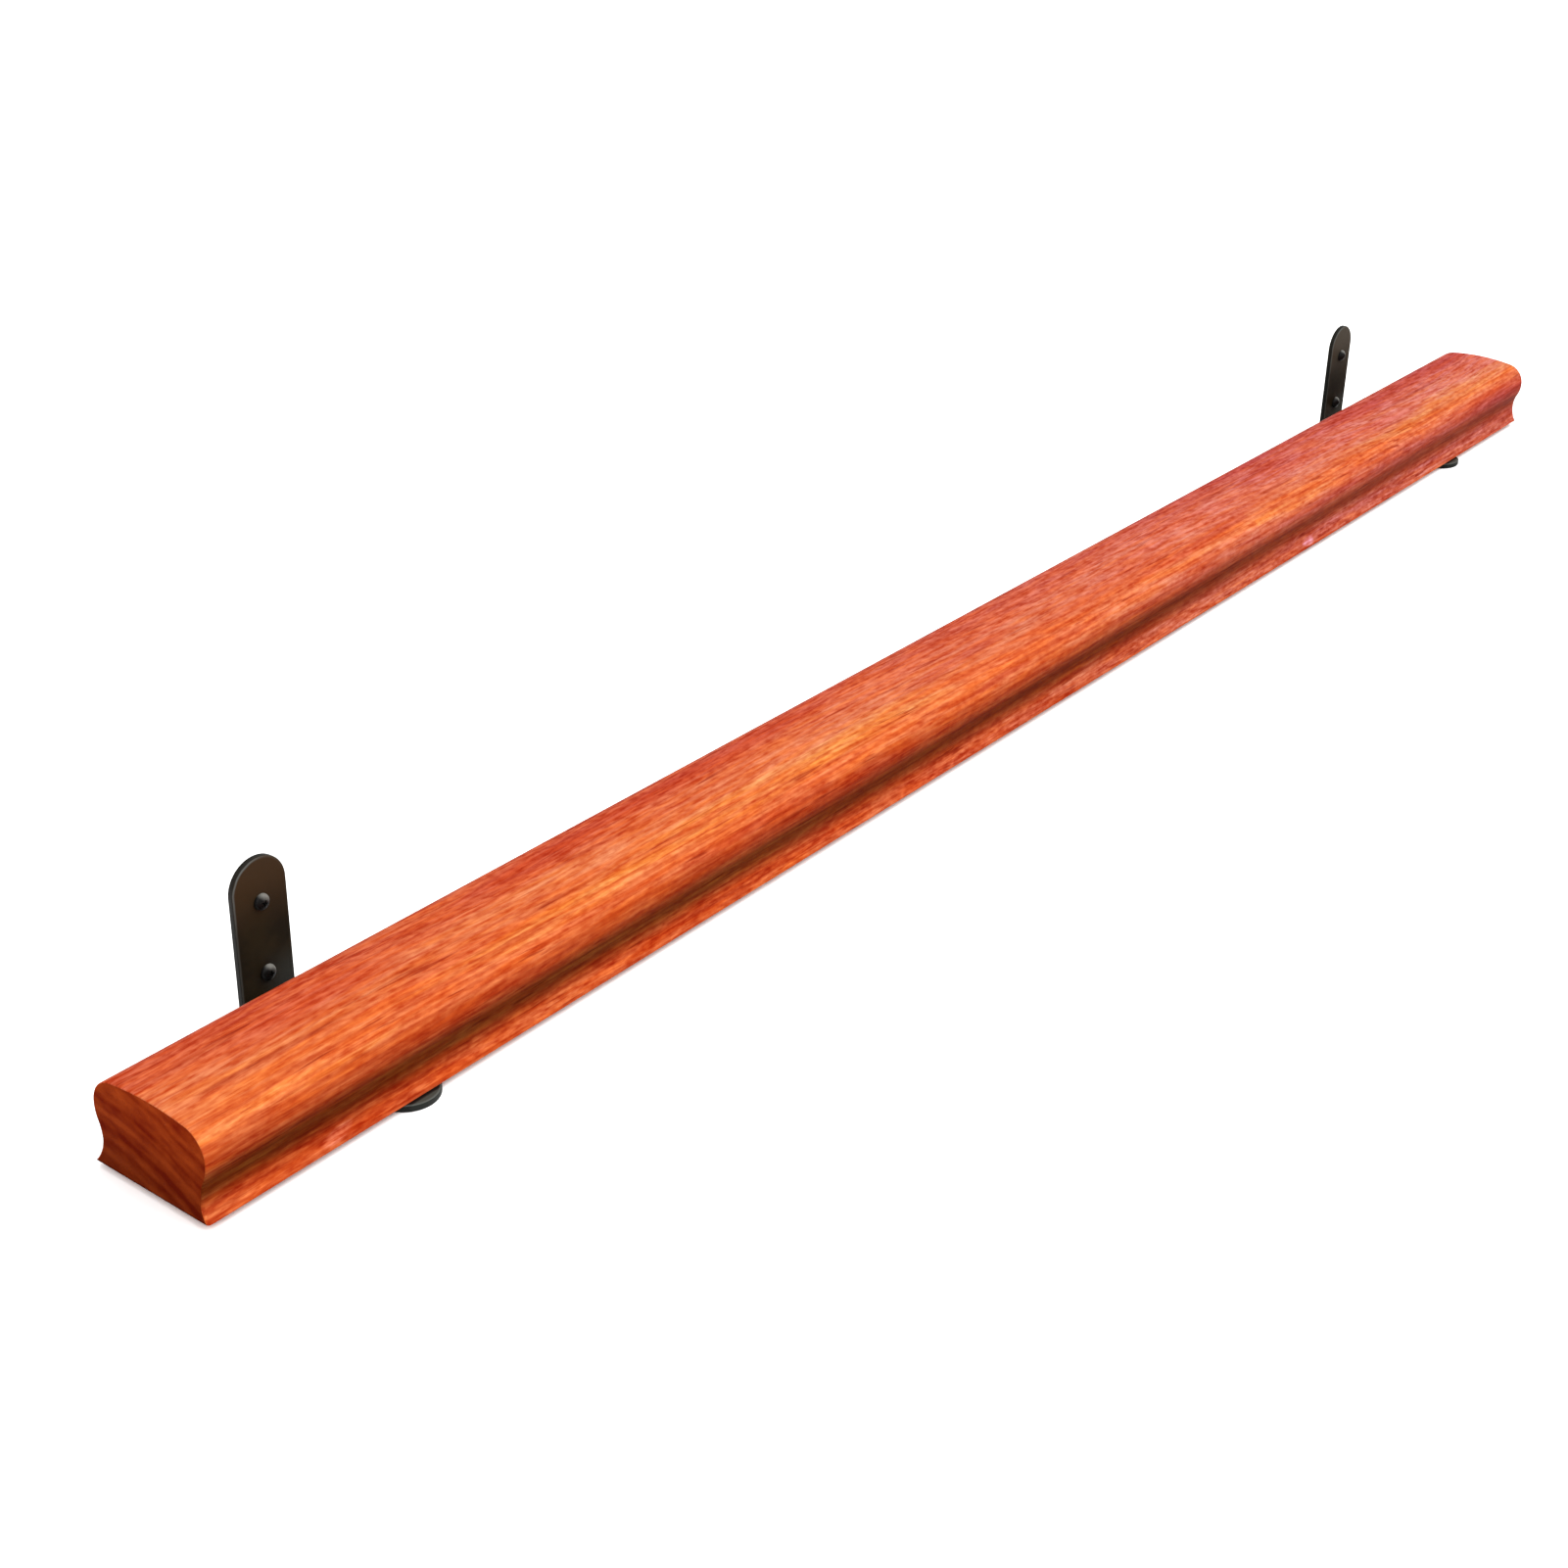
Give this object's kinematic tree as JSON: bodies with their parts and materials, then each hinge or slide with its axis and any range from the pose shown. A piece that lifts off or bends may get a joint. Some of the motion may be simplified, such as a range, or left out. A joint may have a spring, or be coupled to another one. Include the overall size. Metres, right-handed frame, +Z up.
{
  "type": "stair handrail length",
  "caption": "Straight hardwood stair handrail with a flat base, hollow waist and domed crown, screwed onto bent flat-bar wall brackets.",
  "frame": {"origin": "middle of the footprint, on the plane that the undersides of the two feet stand on", "axes": "+X along the rail, +Y towards the wall, +Z up"},
  "size_m": [1.2, 0.0984, 0.0798],
  "materials": {
    "rail_wood": "satin oil on red-orange hardwood",
    "bracket_steel": "satin dark bronze, paler on the edges",
    "screw_steel": "satin black"
  },
  "bodies": {
    "root": {"rail": "rail_wood", "bracket_left": "bracket_steel", "bracket_right": "bracket_steel", "rail_screw_left_front": "screw_steel", "rail_screw_left_back": "screw_steel", "rail_screw_right_front": "screw_steel", "rail_screw_right_back": "screw_steel"}
  },
  "joints": []
}
